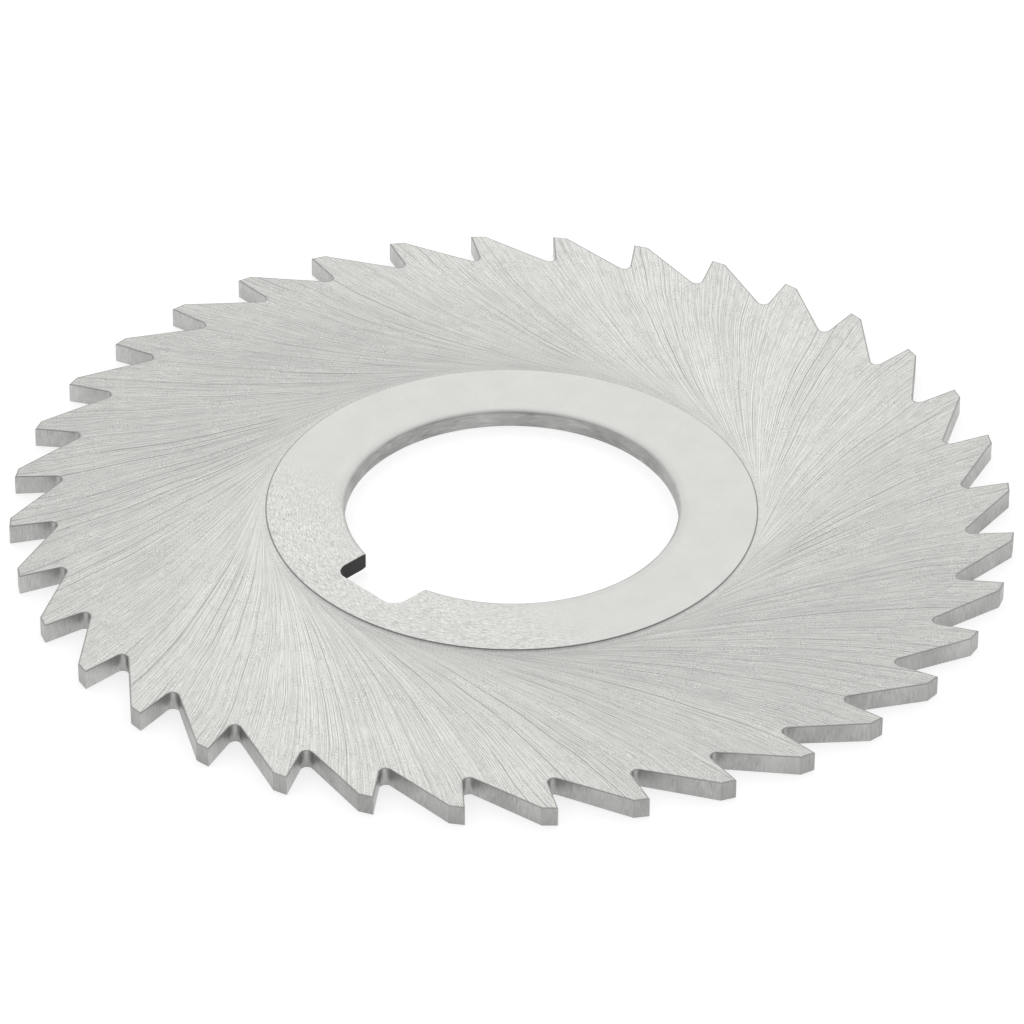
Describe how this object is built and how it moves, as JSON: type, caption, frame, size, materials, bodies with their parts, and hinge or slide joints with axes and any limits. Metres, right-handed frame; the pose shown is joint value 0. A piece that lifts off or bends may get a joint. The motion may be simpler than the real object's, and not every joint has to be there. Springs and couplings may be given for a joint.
{
  "type": "slitting saw",
  "caption": "Thin round steel slitting saw with pointed rim teeth, a raised hub, a bore with one keyway and hollow ground sides.",
  "frame": {"origin": "on the bore axis, in the plane of the lower side of the tooth tips that the saw lies on", "axes": "+Z along the bore axis, square to the flat disc; the keyway points along -Y, in line with one tooth tip; seen from +Z the teeth point counterclockwise"},
  "size_m": [0.0762, 0.0762, 0.0016],
  "materials": {
    "ground_steel": "satin, surface ground in sweeping arcs"
  },
  "bodies": {
    "root": {"slitting_saw": "ground_steel"}
  },
  "joints": []
}
